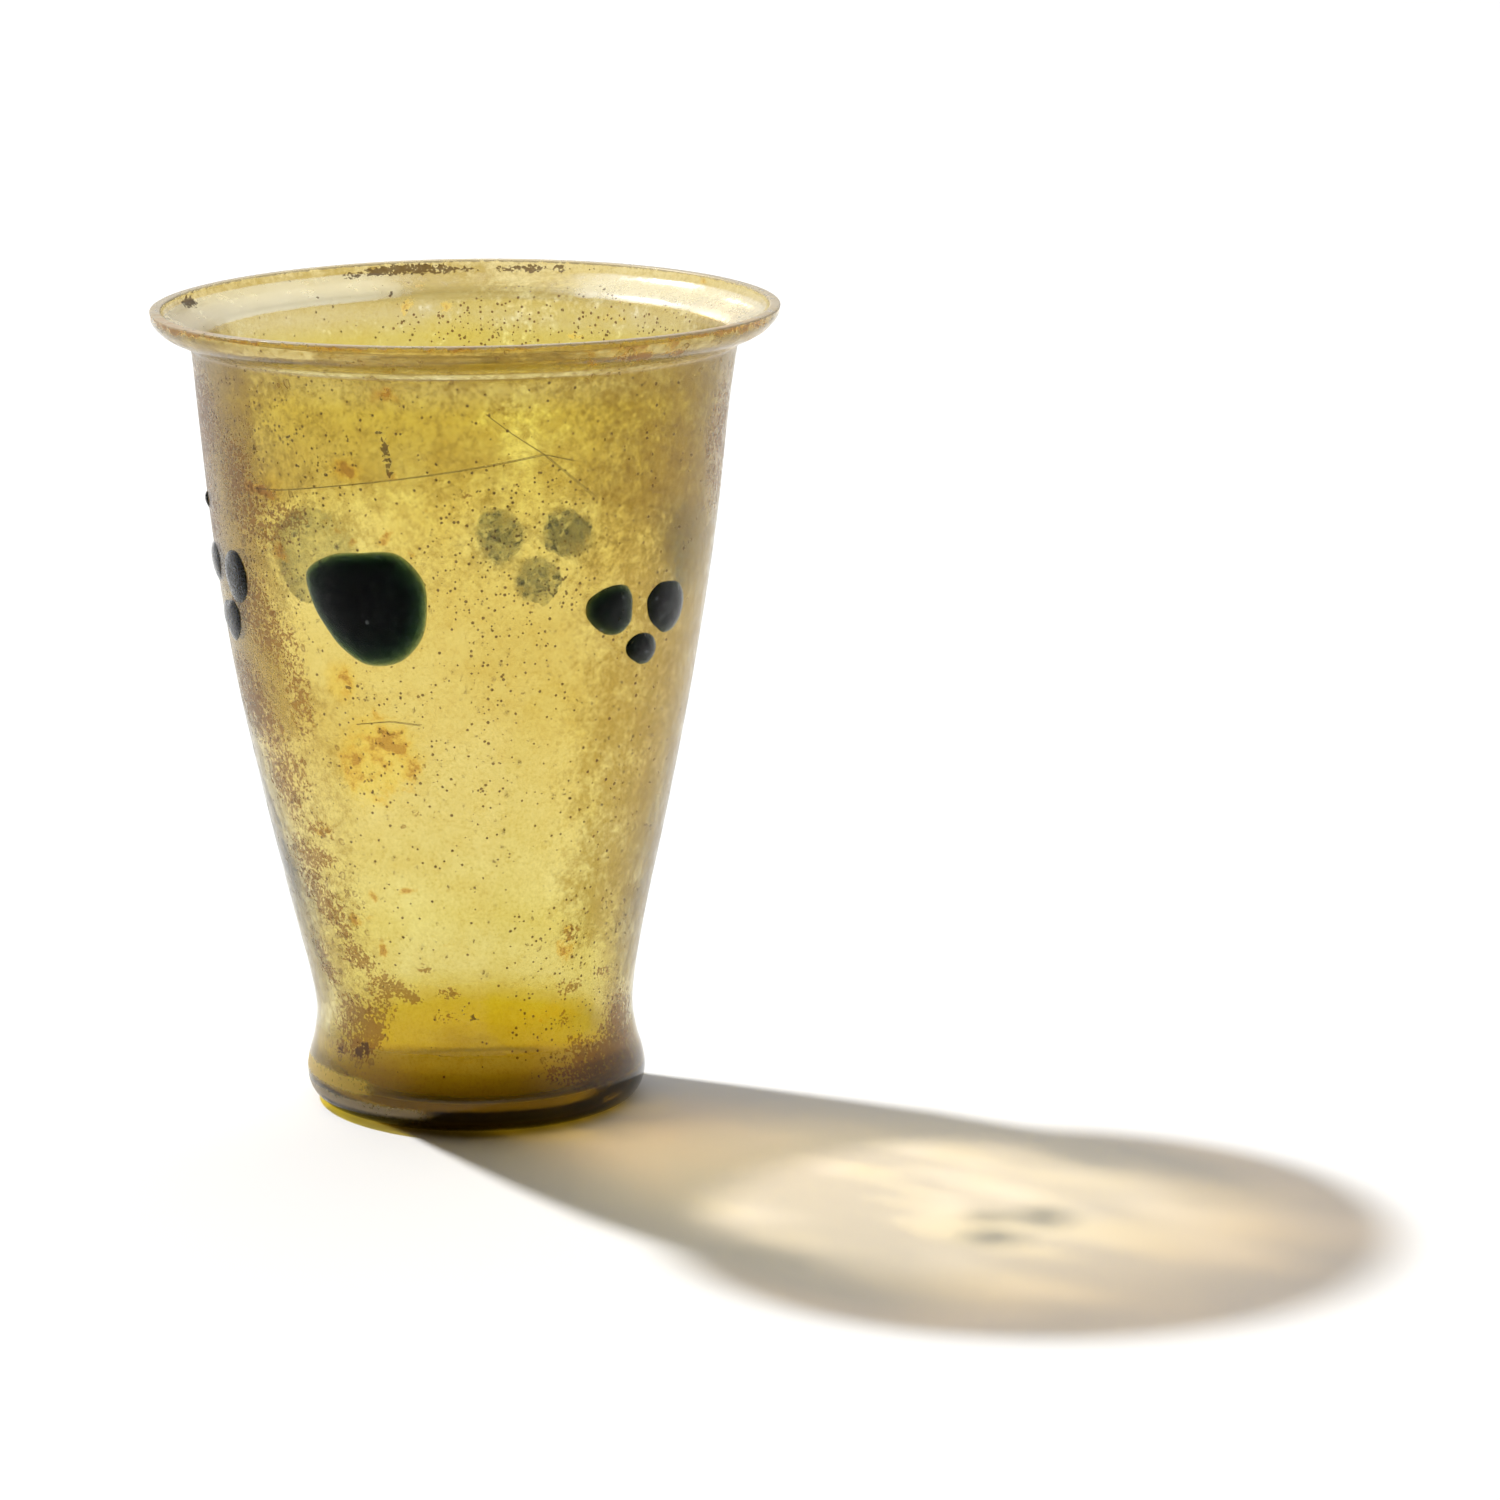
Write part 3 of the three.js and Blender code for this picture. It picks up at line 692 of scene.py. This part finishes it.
# Marks over it: how much of its colour each gives, how much it hides the light and roughens
mark_looks = {
    "halo": (0.8, "#FFFCDC", 0.0, 0.0),
    "amber": (0.6, "#FCDC38", 0.0, 0.0),
    "film": (0.88, "#A6882E", 0.04, 0.2),
    "dust_and_painted_sheen": (0.7, "#9A908C", 0.5, 0.3),
    # grey dust with a painted sheen, then painted light
    "painted_foot_glow": (0.75, "#CCAA46", 0.6, 0.3),
    "dull": (0.0, "#FFFFFF", 0.0, 0.5),
    "grit": (0.3, "#94783E", 0.05, 0.05),
    "rust": (0.7, "#EDB83C", 0.03, 0.05),
    "deep_rust": (0.7, "#A8601C", 0.1, 0.1),
    "fleck": (0.8, "#7E5416", 0.1, 0.1),
    "soil": (0.88, "#84500F", 0.08, 0.1),
    "scratch": (0.75, "#5A4420", 0.1, 0.1),
    # painted reflection: a pale band in the flange's dish
    "dish_painted_reflection": (0.98, "#FFF8EA", 0.15, 0.1),
    # painted shade: near-black at the foot's bottom rim
    "painted_foot_shade": (1.0, "#070401", 0.0, 0.05),
    "lip": (0.8, "#D9C8AC", 0.5, 0.3),
    "speck": (0.95, "#44240A", 0.05, 0.1),
    "crust": (0.94, "#3C220A", 0.15, 0.3),
}
mask["halo"] = stored["halo"]
clear = 1.0
polish = (0.02, 0.07)
rough = add(tree, "MapRange", grains["patch"], *noise_levels, *polish)
for key, (amount, code, hiding, roughening) in mark_looks.items():
    share = add(tree, "Math", mask[key], amount, operation="MULTIPLY")
    tint = add(tree, "Mix", Factor_Float=share, A_Color=tint, B_Color=linear(code), **colours)
    clear = add(tree, "Math", mask[key], -hiding, clear, operation="MULTIPLY_ADD", use_clamp=True)
    rough = add(tree, "Math", mask[key], roughening, rough, operation="MULTIPLY_ADD",
                use_clamp=True)

# Its relief: slow ripples with a fine grain, and specks and scratches a little sunk
ripple_depth, ripple_strength = 0.2, 0.35
grain_share, sunk_share = 0.03, 0.1
relief = add(tree, "Math", grains["grain"], grain_share, grains["ripple"], operation="MULTIPLY_ADD")
for key in ("speck", "scratch"):
    relief = add(tree, "Math", mask[key], -sunk_share, relief, operation="MULTIPLY_ADD")
bump = add(tree, "Bump", Strength=ripple_strength, Distance=ripple_depth * mm, Height=relief)

# What a wall passes of a lamp's ray: it dims it by its height, more where the ray grazes the glass
# above the foot, and in soft streaks that are drawn out upwards
graze_levels, graze_start, graze_full = (0.3, 0.85), 8, 24
streak_grain, streak_stretch, streak_levels = 9, (1, 1, 0.3), (0.42, 0.58)
facing = add(tree, "LayerWeight", 0.5, out="Facing")
grazing = add(tree, "MapRange", facing, *graze_levels, **smooth)
above_foot = add(tree, "MapRange", level, graze_start * mm, graze_full * mm, **smooth)
grazing = add(tree, "Math", grazing, above_foot, operation="MULTIPLY")
let_through = add(tree, "Mix", Factor_Float=grazing, A_Color=at_height["shadow"],
                  B_Color=linear("#3F3539"), **colours)
drawn = add(tree, "VectorMath", place, streak_stretch, operation="MULTIPLY")
streak = add(tree, "TexNoise", drawn, Scale=1 / (streak_grain * mm), Detail=2)
streak = add(tree, "MapRange", streak, *streak_levels, **smooth)
streak = add(tree, "Mix", Factor_Float=streak, A_Color=linear("#DAD8D6"), B_Color=uneven, **colours)
let_through = add(tree, "Mix", Factor_Float=1.0, A_Color=let_through, B_Color=streak,
                  blend_type="MULTIPLY", **colours)
surface = glass_surface(tree, tint, clear, rough, bump, "#B0B0B0", let_through)
olive_colour, olive_density = (0.75, 0.695, 0.3, 1), 120.0
olive = add(tree, "VolumeAbsorption", olive_colour, olive_density)
add(tree, "OutputMaterial", surface, olive)
vessel.data.materials.append(glass)
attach(vessel, "root")
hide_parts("vessel")

# Blobs
# Dark blue-green glass dropped hot on the wall, where each drop spread to a low cushion and fused.
# A large blob alternates with a triangle of three small ones, six groups round the belt.

belt_height = 76
large_width = 17.5
large_tallness = 15.5
large_relief = 1.0
small_width = 8
small_tallness = 7
small_relief = 0.6
droplet_turn = -81.5
droplet_rise = 11.1
droplet_width = 2
droplet_tallness = 2.4
droplet_relief = 0.4
sunk_depth = 0.25
dome_power = 0.75
fullness = 2.4
fullness_swing = 0.8
lump_share = 0.05
lumps_across = 9
lumps_up = 8

# Points round a blob and rings from its edge to its middle
large_mesh = (144, 42)
small_mesh = (96, 27)
droplet_mesh = (48, 12)

# Blob outlines: the reach in twelve even directions, anticlockwise from the right, as shares of
# half the width or tallness
shield_shares = [1, 1.1, 1.15, 0.99, 1.04, 1.12, 0.9, 0.8, 0.86, 1, 1.06, 1.03]
drop_shares = [0.97, 1.2, 1.14, 1.02, 0.98, 0.95, 1.02, 1, 1, 1, 1, 1]
leaf_shares = [0.98, 1.18, 1.24, 0.95, 0.98, 1.02, 1.02, 0.98, 1, 1.1, 0.96, 0.92]
pebble_shares = [1, 1.05, 1.1, 1, 0.96, 1, 0.98, 1, 1.02, 1, 0.98, 1]
plum_shares = [0.94, 1, 1.1, 1.02, 1, 1.06, 0.96, 0.84, 0.84, 0.97, 1.1, 1.08]
fig_shares = [1, 0.98, 1, 1.02, 1.16, 1.14, 0.92, 0.81, 0.79, 0.95, 1.03, 1.04]
bead_shares = [1, 0.95, 0.95, 1, 1.06, 1.06, 0.93, 0.8, 0.77, 0.94, 1.1, 1.08]


def wall_point(turn, height, off):
    """A point off the outer wall, stood off square to the wall's slope there."""
    radius = np.interp(height, wall_heights, wall_radii) + waviness(turn, height)
    above = np.interp(height + wall_thickness, wall_heights, wall_radii)
    below = np.interp(height - wall_thickness, wall_heights, wall_radii)
    slope = (above - below) / (2 * wall_thickness)
    reach = off / np.hypot(1, slope)
    return settle(turned_point(turn, radius + reach, height - reach * slope))


def blob_outline(shares, steps):
    """A closed smooth line through a corner in each direction: between two corners a cubic whose
    slope at each is half the way from the corner before to the one after."""
    directions = np.arange(len(shares)) * 2 * np.pi / len(shares)
    corners = np.stack([np.cos(directions), np.sin(directions)], axis=1) * np.array(shares)[:, None]
    slopes = (np.roll(corners, -1, axis=0) - np.roll(corners, 1, axis=0)) / 2
    places = np.arange(steps) * len(shares) / steps
    here = places.astype(int)
    after = (here + 1) % len(shares)
    share = (places - here)[:, None]
    eased = share * share * (3 - 2 * share)
    lead = share * (1 - share) ** 2 * slopes[here]
    trail = share * share * (share - 1) * slopes[after]
    return corners[here] + (corners[after] - corners[here]) * eased + lead + trail


def make_blob(name, turn, right, height, width, tallness, relief, shares, mesh):
    """A low cushion on the wall, to the right of a turn: rings that shrink from the outline to the
    middle. The dome stands off by the relief times 1 - share^p to the dome's power, a little lumpy,
    where p is the fullness plus its swing at the top of the blob and less it at its foot, so that
    its foot thins out slowly. The seat is a shallow bowl sunk in the wall under it."""
    steps, rings = mesh
    edge = blob_outline(shares, steps) * (width / 2, tallness / 2)
    out = np.sin(np.linspace(0, 1, rings + 1)[1:] * np.pi / 2)
    into = out[::-3][1:]
    share = np.concatenate([out, into])[:, None]
    across, up = share * edge[:, 0], share * edge[:, 1]
    swing = np.sin(across / width * lumps_across + turn) * np.cos(up / tallness * lumps_up + right)
    power = fullness + fullness_swing * np.sin(np.arange(steps) * 2 * np.pi / steps)
    dome = relief * (1 - np.minimum(share, 1) ** power) ** dome_power * (1 + lump_share * swing)
    seat = -sunk_depth * (1 - share ** 2)
    on_seat = (np.arange(len(share)) >= rings)[:, None]
    off = np.where(on_seat, seat, dome)
    middle_radius = np.interp(height, wall_heights, wall_radii)
    middle_turn = turn + math.degrees(right / middle_radius)
    turns_here = middle_turn + np.degrees(across / middle_radius)
    band = wall_point(turns_here, height + up, off).reshape(-1, 3)
    end_offs = np.array([relief, -sunk_depth])
    ends = wall_point(np.full(2, middle_turn), np.full(2, height), end_offs)
    count = len(band)
    here, after = np.arange(steps), (np.arange(steps) + 1) % steps
    at_end = np.full(steps, count)
    top_fan = np.stack([at_end, here, after], axis=1)
    last_ring = count - steps
    seat_fan = np.stack([at_end + 1, last_ring + after, last_ring + here], axis=1)
    quads = grid_faces(len(share), steps)[:, ::-1]
    faces = quads.tolist() + top_fan.tolist() + seat_fan.tolist()
    belt_places.append((middle_turn, height, width, tallness))
    return make_piece(name + "_glass", np.concatenate([band, ends]), faces)


# Cobalt and iron glass, fire-polished. It looks black where it is thick and blue-green at its thin
# edge, with a soft gloss, small pits and pale bubbles near the surface.
fresh_glass, tree = new_tree("fire_polished_dark_glass")
mottle_grain, fresh_polish, pit_depth, pit_strength = 1.4, (0.1, 0.24), 0.1, 0.7
dust_grain, dust_levels, dust_paleness = 0.5, (0.6, 0.72), 0.12
bubble_cell, bubble_edge, bubble_rarity = 1.5, (0.12, 0.24), 0.8
bubble_paleness, bubble_rise, pale_hiding = 0.4, 0.6, 0.5
place = add(tree, "TexCoord", out="Object")
mottle = add(tree, "TexNoise", place, Scale=1 / (mottle_grain * mm), Detail=3, Roughness=0.6)
fine = add(tree, "TexNoise", place, Scale=1 / (dust_grain * mm), Detail=2)
cell = add(tree, "TexVoronoi", place, Scale=1 / (bubble_cell * mm), out="Distance")
pick = add(tree, "SeparateColor", cell.node.outputs["Color"])
picked = add(tree, "Math", pick, bubble_rarity, operation="GREATER_THAN")
round_spot = add(tree, "MapRange", cell, *bubble_edge, 1.0, 0.0, **smooth)
bubble = add(tree, "Math", round_spot, picked, operation="MULTIPLY")
dust = add(tree, "MapRange", fine, *dust_levels, **smooth)
pale = add(tree, "Math", dust, dust_paleness, operation="MULTIPLY")
pale = add(tree, "Math", bubble, bubble_paleness, pale, operation="MULTIPLY_ADD", use_clamp=True)
tone = add(tree, "Mix", Factor_Float=pale, A_Color=linear("#DCE6DE"), B_Color=linear("#5E6E6C"),
           **colours)
clear = add(tree, "Math", pale, -pale_hiding, 1.0, operation="MULTIPLY_ADD")
rough = add(tree, "MapRange", mottle, *noise_levels, *fresh_polish)
relief = add(tree, "Math", bubble, bubble_rise, fine, operation="MULTIPLY_ADD")
bump = add(tree, "Bump", Strength=pit_strength, Distance=pit_depth * mm, Height=relief)
surface = glass_surface(tree, tone, clear, rough, bump, "#525256", linear("#E8ECEA"))
ink_colour, ink_density = (0.1, 0.33, 0.42, 1), 9000.0
ink = add(tree, "VolumeAbsorption", ink_colour, ink_density)
add(tree, "OutputMaterial", surface, ink)

# The same glass on the side that lay in damp soil: leached to a grey crust full of clear pinholes,
# so that daylight comes through it in grains. Each blob stores how far it has gone.
leached_glass, tree = new_tree("leached_dark_glass")
pinhole_grain, pinhole_weight, pinhole_strength = 0.75, 3.0, 0.5
blotch_grain, blotch_weight = 2.2, 0.5
open_levels, leached_polish = (2.18, 2.42), (0.12, 0.3)
place = add(tree, "TexCoord", out="Object")
pinhole = add(tree, "TexNoise", place, Scale=1 / (pinhole_grain * mm), Detail=3, Roughness=0.65)
blotch = add(tree, "TexNoise", place, Scale=1 / (blotch_grain * mm), Detail=2)
worn = add(tree, "Attribute", attribute_name="worn", out="Fac")
opened = add(tree, "Math", blotch, blotch_weight, worn, operation="MULTIPLY_ADD")
opened = add(tree, "Math", pinhole, pinhole_weight, opened, operation="MULTIPLY_ADD")
opened = add(tree, "MapRange", opened, *open_levels, **smooth)
tone = add(tree, "Mix", Factor_Float=opened, A_Color=linear("#3C434C"), B_Color=linear("#EDEEEA"),
           **colours)
rough = add(tree, "MapRange", opened, 0.0, 1.0, *leached_polish)
bump = add(tree, "Bump", Strength=pinhole_strength, Distance=pit_depth * mm, Height=pinhole)
surface = glass_surface(tree, tone, 1.0, rough, bump, "#7C7C80", linear("#C8CACC"))
add(tree, "OutputMaterial", surface)


def fuse(blob, node, worn=0):
    """A finished blob takes the dark glass, leached as far as given, and stands for its solid."""
    blob.data.materials.append(leached_glass if worn else fresh_glass)
    if worn:
        store(blob, "worn", np.full(len(blob.data.vertices), worn))
    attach(blob, "root")
    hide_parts(node)


# Large blobs: turn, rise over the belt as a share of the tallness, shares of the width and
# tallness, outline and how far leached
belt_places = []
large_blobs = [
    ("blob_large_front", -20.6, 0.045, 1.02, 1.03, shield_shares, 0),
    ("blob_large_right", 109, 0.045, 0.82, 0.84, pebble_shares, 0.4),
    ("blob_large_back", -137, -0.167, 0.86, 0.9, drop_shares, 0.8),
]
for name, turn, rise, wide, tall, shares, worn in large_blobs:
    blob = make_blob(name, turn, 0, belt_height + large_tallness * rise, large_width * wide,
                     large_tallness * tall, large_relief, shares, large_mesh)
    fuse(blob, name, worn)

# Triangles of small blobs: the middle's turn, and for each blob how far it lies to the right of it,
# as a share of the width, then the same as for a large blob
trios = [
    ("trio_right", 47.4, [
        ("upper_left", -0.7, -0.09, 1.05, 1.01, plum_shares, 0),
        ("upper_right", 0.72, -0.25, 1.15, 1.07, fig_shares, 0),
        ("lower", 0.13, -0.99, 0.8, 0.66, bead_shares, 0),
    ]),
    ("trio_back", 164.5, [
        ("upper_left", -0.65, -0.08, 1.06, 0.97, pebble_shares, 0.56),
        ("upper_right", 0.71, -0.2, 0.9, 1.05, leaf_shares, 0.62),
        ("lower", -0.1, -1.1, 0.96, 0.9, pebble_shares, 0.64),
    ]),
    ("trio_left", -71.5, [
        ("upper_left", -0.68, 0.35, 1.02, 0.78, drop_shares, 0),
        ("upper_right", 0.68, 0.3, 0.95, 1.08, pebble_shares, 0),
        ("lower", 0.1, -0.68, 1.02, 0.8, leaf_shares, 0),
    ]),
]
for trio, turn, blobs in trios:
    for name, right, rise, wide, tall, shares, worn in blobs:
        node = f"{trio}_{name}"
        blob = make_blob(node, turn, small_width * right, belt_height + small_tallness * rise,
                         small_width * wide, small_tallness * tall, small_relief, shares,
                         small_mesh)
        fuse(blob, node, worn)

droplet = make_blob("stray_droplet", droplet_turn, 0, belt_height + droplet_rise, droplet_width,
                    droplet_tallness, droplet_relief, pebble_shares, droplet_mesh)
fuse(droplet, "stray_droplet")

# The hot drops drew the wall's glass thin and bright round them
halo_spread = 0.72
halo_strength = 0.9
halos = [(turn, height, wide * halo_spread, tall * halo_spread, halo_strength)
         for turn, height, wide, tall in belt_places]
store(vessel, "halo", ~inner_all * patches(turn_all, height_all, halos))

# Floor, light and camera
# A pale matt sheet just under the cup, lit by one lamp from the back left and by a white room that
# is bright at the back.

floor_reach = 3000
floor_gap = 0.05
floor_roughness = 0.95
cloud_size = 60
paper, tree = new_tree("pale_matt_sheet")
place = add(tree, "TexCoord", out="Object")
cloud = add(tree, "TexNoise", place, Scale=1 / (cloud_size * mm), Detail=3)
tone = add(tree, "Mix", Factor_Float=cloud, A_Color=linear("#F6F5F4"), B_Color=linear("#F9F8F7"),
           **colours)
sheet = add(tree, "BsdfPrincipled", Base_Color=tone, Roughness=floor_roughness,
            Specular_IOR_Level=0.0)
add(tree, "OutputMaterial", sheet)
corners = np.array([[-1, -1, 0], [1, -1, 0], [1, 1, 0], [-1, 1, 0]]) * floor_reach
floor = make_piece("floor_sheet", corners - (0, 0, floor_gap), [[0, 1, 2, 3]])
floor.data.materials.append(paper)

# The room: a backdrop that only the eye and rays through or off the glass see, dim in front and
# white from the cup backwards, and a fill for the sheet that comes from the back. Levels are how far
# backward a ray points, from -1 to 1.
backdrop_levels, fill_levels, most_fill = (-0.9, -0.3), (0.0, 0.7), 1.3
room = bpy.data.worlds.new("even_white_room")
room.use_nodes = True
scene.world = room
tree = room.node_tree
tree.nodes.clear()
eye_ray = add(tree, "LightPath", out="Is Camera Ray")
path = eye_ray.node.outputs
seen = add(tree, "Math", path["Is Glossy Ray"], path["Is Transmission Ray"], operation="MAXIMUM")
seen = add(tree, "Math", seen, eye_ray, operation="MAXIMUM")
direct = add(tree, "Math", path["Diffuse Depth"], 0.5, operation="LESS_THAN")
seen = add(tree, "Math", seen, direct, operation="MULTIPLY")
direction = add(tree, "TexCoord", out="Generated")
backward = add(tree, "SeparateXYZ", direction, out="Y")
share = add(tree, "MapRange", backward, *backdrop_levels, **smooth)
front = add(tree, "Mix", Factor_Float=path["Is Glossy Ray"], A_Color=linear("#D4D4D8"),
            B_Color=linear("#303034"), **colours)
backdrop = add(tree, "Mix", Factor_Float=share, A_Color=front, B_Color=linear("#FFFFFF"), **colours)
glow = add(tree, "MapRange", backward, *fill_levels, 0.0, most_fill)
fill = add(tree, "Background", (1, 1, 1, 1), glow)
add(tree, "OutputWorld", add(tree, "MixShader", seen, fill, add(tree, "Background", backdrop, 1.0)))

# The lamp: as bright far off as near, and small enough to keep the shadow's edges
lamp_size = 48
lamp_place = np.array([-825, 730, 1330])
key = bpy.data.lights.new("key_lamp", "POINT")
key.energy = 43
key.shadow_soft_size = lamp_size * mm
key.cycles.use_multiple_importance_sampling = False
key.use_nodes = True
even = add(key.node_tree, "LightFalloff", 1.0, out="Constant")
key.node_tree.links.new(even, key.node_tree.nodes["Emission"].inputs["Strength"])
key_lamp = bpy.data.objects.new("key_lamp", key)
key_lamp.location = lamp_place * mm
scene.collection.objects.link(key_lamp)

# The camera: level from side to side, and it looks down on the cup by a few degrees
camera_place = np.array([39.7337, -848.7253, 235.0388])
camera_drop = 12.2964
lens = bpy.data.cameras.new("view")
lens.lens = 146.947
lens.sensor_width = 36
lens.clip_end = 100
view = bpy.data.objects.new("view", lens)
view.location = camera_place * mm
view.rotation_euler = (math.radians(90 - camera_drop), 0, 0)
scene.collection.objects.link(view)
scene.camera = view

scene.view_settings.view_transform = "Standard"
scene.cycles.max_bounces = 24
scene.cycles.transmission_bounces = 24
scene.cycles.glossy_bounces = 12
scene.cycles.transparent_max_bounces = 32
scene.cycles.sample_clamp_indirect = 3
scene.cycles.caustics_reflective = False
